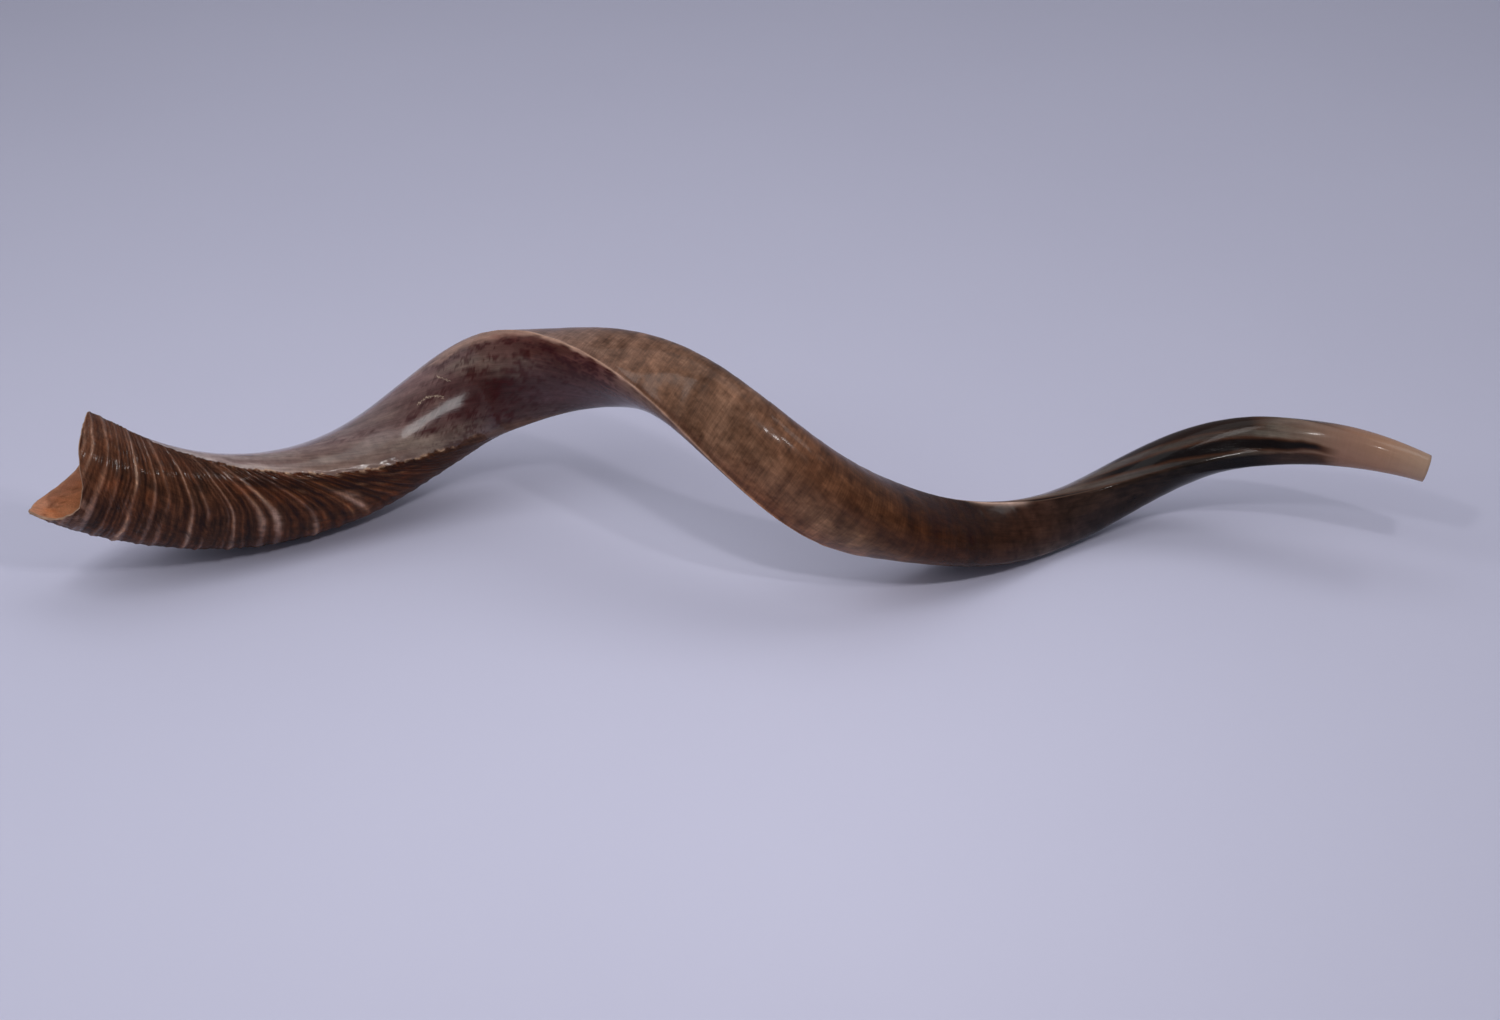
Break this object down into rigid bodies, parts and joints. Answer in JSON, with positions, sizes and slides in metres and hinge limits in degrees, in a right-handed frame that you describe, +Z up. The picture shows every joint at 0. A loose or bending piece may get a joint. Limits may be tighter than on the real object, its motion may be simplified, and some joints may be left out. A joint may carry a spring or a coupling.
{
  "type": "shofar",
  "caption": "Long corkscrew animal-horn trumpet: one hollow horn with an open flared bell, a keeled twisting body and a bored tip cut to a small cup mouthpiece.",
  "frame": {"origin": "middle of the bounding box's base, on the flat surface that the horn lies on", "axes": "+Z up; +X along the horn from the bell to the mouthpiece; +Y is the far side when the bell is on the left"},
  "size_m": [0.892, 0.1638, 0.148],
  "materials": {
    "horn": "polished natural horn: ribbed dark brown bark at the bell, smooth mottled brown and black body, pale pinkish-grey tip"
  },
  "bodies": {
    "root": {"horn": "horn"}
  },
  "joints": []
}
